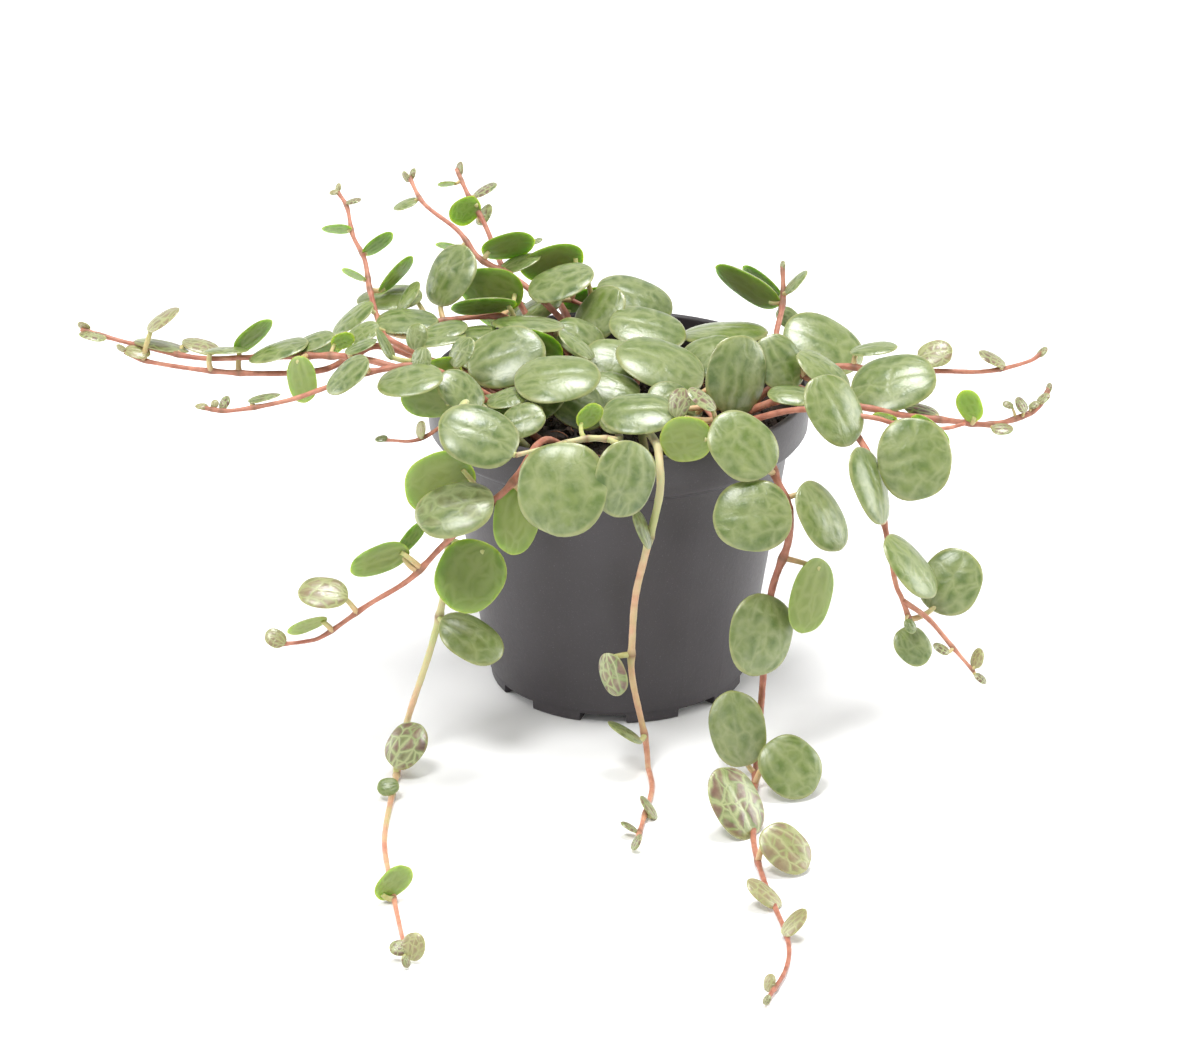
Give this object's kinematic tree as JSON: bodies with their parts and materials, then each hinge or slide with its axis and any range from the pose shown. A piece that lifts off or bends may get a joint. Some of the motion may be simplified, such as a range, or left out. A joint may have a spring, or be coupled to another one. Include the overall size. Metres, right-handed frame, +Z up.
{
  "type": "potted string of turtles",
  "caption": "Small trailing string of turtles in a tapered dark grey nursery pot, with round veined leaves on thin stems that hang over the rim.",
  "frame": {"origin": "on the pot's axis, at the underside of its base, on the surface it stands on", "axes": "+Z up along the pot's axis; -Y to the front, where the long stems lie along the surface; +X to the plant's right as seen from the front"},
  "size_m": [0.1503, 0.1492, 0.0715],
  "materials": {
    "pot_plastic": "matt dark grey moulded plastic",
    "soil_mix": "dark crumbly potting mix",
    "stem_skin": "smooth fleshy stem, green to reddish",
    "leaf_skin": "waxy succulent leaf with pale veins"
  },
  "bodies": {
    "root": {"leaf_crown_back_1": "leaf_skin", "leaf_crown_back_2": "leaf_skin", "leaf_crown_back_3": "leaf_skin", "leaf_crown_edge_1": "leaf_skin", "leaf_crown_edge_2": "leaf_skin", "leaf_crown_front_1": "leaf_skin", "leaf_crown_front_2": "leaf_skin", "leaf_crown_left_1": "leaf_skin", "leaf_crown_right_1": "leaf_skin", "leaf_crown_right_2": "leaf_skin", "leaf_crown_right_3": "leaf_skin", "leaf_front_creeper_1": "leaf_skin", "leaf_front_creeper_2": "leaf_skin", "leaf_front_creeper_3": "leaf_skin", "leaf_front_left_1": "leaf_skin", "leaf_front_right_1": "leaf_skin", "leaf_front_right_2": "leaf_skin", "leaf_front_right_3": "leaf_skin", "leaf_front_right_4": "leaf_skin", "leaf_front_right_5": "leaf_skin", "leaf_front_right_6": "leaf_skin", "leaf_front_right_7": "leaf_skin", "leaf_left_front_1": "leaf_skin", "leaf_left_front_2": "leaf_skin", "leaf_rear_right_1": "leaf_skin", "leaf_right_drop_1": "leaf_skin", "leaf_right_drop_2": "leaf_skin", "leaf_right_drop_3": "leaf_skin", "leaf_right_upper_1": "leaf_skin", "leaf_right_upright_1": "leaf_skin", "pot": "pot_plastic", "soil": "soil_mix", "stem_back_left": "stem_skin", "stem_back_upright": "stem_skin", "stem_crown_back": "stem_skin", "stem_crown_edge": "stem_skin", "stem_crown_front": "stem_skin", "stem_crown_left": "stem_skin", "stem_crown_right": "stem_skin", "stem_front_creeper": "stem_skin", "stem_front_left": "stem_skin", "stem_front_middle": "stem_skin", "stem_front_right": "stem_skin", "stem_left_front": "stem_skin", "stem_left_lower": "stem_skin", "stem_left_middle": "stem_skin", "stem_left_short": "stem_skin", "stem_left_upper": "stem_skin", "stem_left_upright": "stem_skin", "stem_rear_left": "stem_skin", "stem_rear_right": "stem_skin", "stem_right_drop": "stem_skin", "stem_right_drop_branch": "stem_skin", "stem_right_lower": "stem_skin", "stem_right_middle": "stem_skin", "stem_right_upper": "stem_skin", "stem_right_upright": "stem_skin"}
  },
  "joints": []
}
